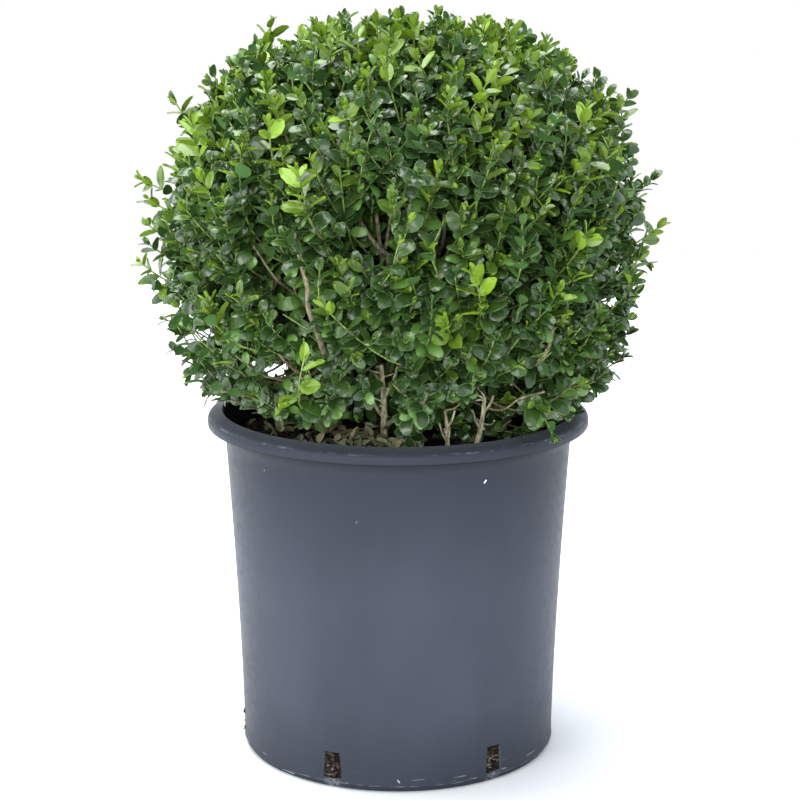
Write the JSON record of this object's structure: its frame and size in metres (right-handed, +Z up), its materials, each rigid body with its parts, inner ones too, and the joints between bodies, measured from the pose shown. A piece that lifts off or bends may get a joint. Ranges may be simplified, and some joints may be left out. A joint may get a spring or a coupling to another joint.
{
  "type": "potted box topiary ball",
  "caption": "Evergreen box shrub clipped to a round ball, growing in a round dark plastic nursery pot with a turned-down rim.",
  "frame": {"origin": "middle of the pot's flat underside", "axes": "+Z up along the pot's axis; -Y is the front that the picture shows"},
  "size_m": [0.4959, 0.453, 0.7153],
  "materials": {
    "pot_plastic": "satin moulded plastic, scuffed",
    "potting_mix": "loose, matt",
    "bark": "corky, finely ridged",
    "foliage": "glossy leaves",
    "young_foliage": "soft satin young leaves"
  },
  "bodies": {
    "root": {"pot": "pot_plastic", "potting_mix": "potting_mix", "trunk": "bark", "leader": "bark", "bough_front": "bark", "bough_right_front": "bark", "bough_right_back": "bark", "bough_back": "bark", "bough_left_back": "bark", "bough_left_front": "bark", "stem_front_left": "bark", "stem_front_right": "bark", "stem_right": "bark", "foliage_top": "foliage", "foliage_front": "foliage", "foliage_right_front": "foliage", "foliage_right_back": "foliage", "foliage_back": "foliage", "foliage_left_back": "foliage", "foliage_left_front": "foliage"}
  },
  "joints": []
}
